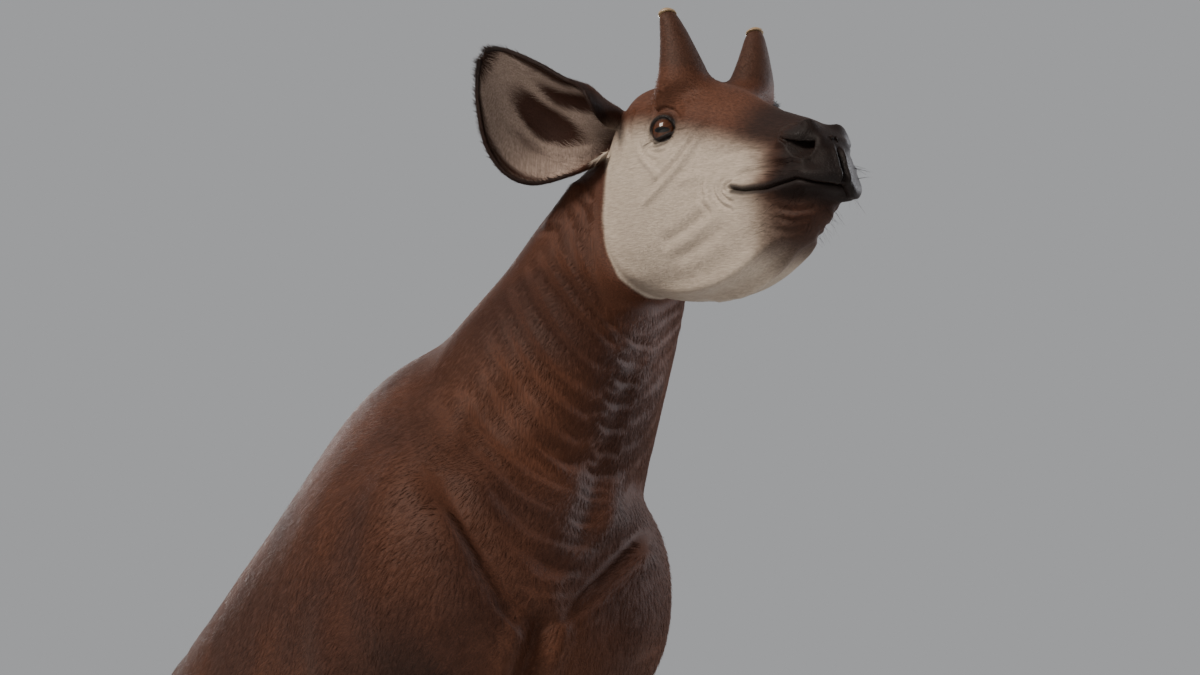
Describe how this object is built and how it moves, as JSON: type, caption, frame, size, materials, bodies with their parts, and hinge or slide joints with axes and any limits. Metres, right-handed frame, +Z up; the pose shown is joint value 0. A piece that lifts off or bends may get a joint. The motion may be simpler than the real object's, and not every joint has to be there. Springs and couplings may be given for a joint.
{
  "type": "okapi figure",
  "caption": "Life-size standing okapi, a still model with a raised head, cupped ears, skin-covered horns, striped legs and a tufted tail.",
  "frame": {"origin": "under the middle of the animal's box, on the ground that the hooves stand on", "axes": "+X to the animal's left, +Y to its rear, +Z up"},
  "size_m": [0.666, 1.9224, 1.972],
  "materials": {
    "hide": "short velvety dark chocolate coat",
    "face_hide": "short coat, pale grey-brown cheek and dark muzzle",
    "striped_hide": "short coat, dark with white bands",
    "pale_hide": "short white coat on the shanks",
    "tuft": "long dark hair",
    "horn": "skin-covered horn with a worn tip",
    "hoof": "dark horn, satin",
    "eye": "wet dark brown"
  },
  "bodies": {
    "root": {"ear_left": "hide", "ear_right": "hide", "eye_left": "eye", "eye_right": "eye", "foreleg_lower_left": "pale_hide", "foreleg_lower_right": "pale_hide", "foreleg_upper_left": "striped_hide", "foreleg_upper_right": "striped_hide", "head": "face_hide", "hindleg_lower_left": "pale_hide", "hindleg_lower_right": "pale_hide", "hindleg_upper_left": "striped_hide", "hindleg_upper_right": "striped_hide", "hoof_fore_left_inner": "hoof", "hoof_fore_left_outer": "hoof", "hoof_fore_right_inner": "hoof", "hoof_fore_right_outer": "hoof", "hoof_hind_left_inner": "hoof", "hoof_hind_left_outer": "hoof", "hoof_hind_right_inner": "hoof", "hoof_hind_right_outer": "hoof", "lower_jaw": "pale_hide", "neck": "hide", "ossicone_left": "horn", "ossicone_right": "horn", "tail": "hide", "tail_tuft": "tuft", "torso": "hide"}
  },
  "joints": []
}
